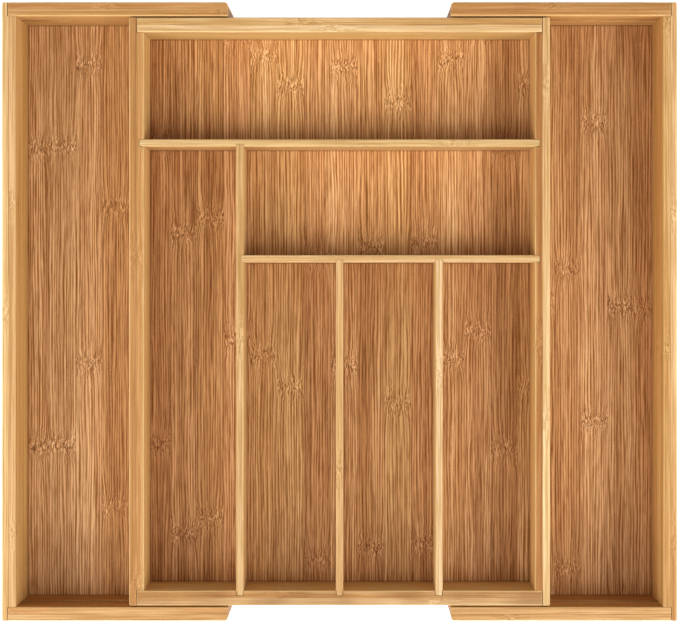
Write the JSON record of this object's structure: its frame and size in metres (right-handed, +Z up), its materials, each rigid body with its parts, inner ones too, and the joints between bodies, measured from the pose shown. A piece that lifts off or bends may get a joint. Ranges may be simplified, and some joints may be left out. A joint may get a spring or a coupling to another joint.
{
  "type": "expandable drawer organizer",
  "caption": "Bamboo drawer organizer: a divided main tray with a U-shaped tray sliding out from under it on each side, stored slid right out.",
  "frame": {"origin": "on the surface it stands on, under the centre of the whole organizer with both side trays slid out", "axes": "+X to the right, along the slides; +Y to the back of the drawer; +Z up"},
  "size_m": [0.491, 0.45, 0.064],
  "materials": {
    "bamboo_wall": "satin lacquered bamboo, edge grain in two layers",
    "bamboo_divider": "satin lacquered pale bamboo",
    "bamboo_panel": "satin lacquered bamboo strips with node marks",
    "bamboo_guide": "smooth bare bamboo"
  },
  "bodies": {
    "main_tray": {"main_back_wall": "bamboo_wall", "main_front_wall": "bamboo_wall", "main_left_wall": "bamboo_wall", "main_right_wall": "bamboo_wall", "main_floor_panel": "bamboo_panel", "back_cross_divider": "bamboo_divider", "middle_cross_divider": "bamboo_divider", "long_divider": "bamboo_divider", "centre_divider": "bamboo_divider", "right_divider": "bamboo_divider", "back_left_guide": "bamboo_guide", "back_right_guide": "bamboo_guide", "front_left_guide": "bamboo_guide", "front_right_guide": "bamboo_guide"},
    "left_tray": {"left_tray_side_wall": "bamboo_wall", "left_tray_back_wall": "bamboo_wall", "left_tray_front_wall": "bamboo_wall", "left_tray_floor_panel": "bamboo_panel"},
    "right_tray": {"right_tray_side_wall": "bamboo_wall", "right_tray_back_wall": "bamboo_wall", "right_tray_front_wall": "bamboo_wall", "right_tray_floor_panel": "bamboo_panel"}
  },
  "joints": [
    {"name": "left_tray_slide", "type": "slide", "parent": "main_tray", "child": "left_tray", "axis": [1, 0, 0], "range_m": [0, 0.0805]},
    {"name": "right_tray_slide", "type": "slide", "parent": "main_tray", "child": "right_tray", "axis": [-1, 0, 0], "range_m": [0, 0.0805]}
  ]
}
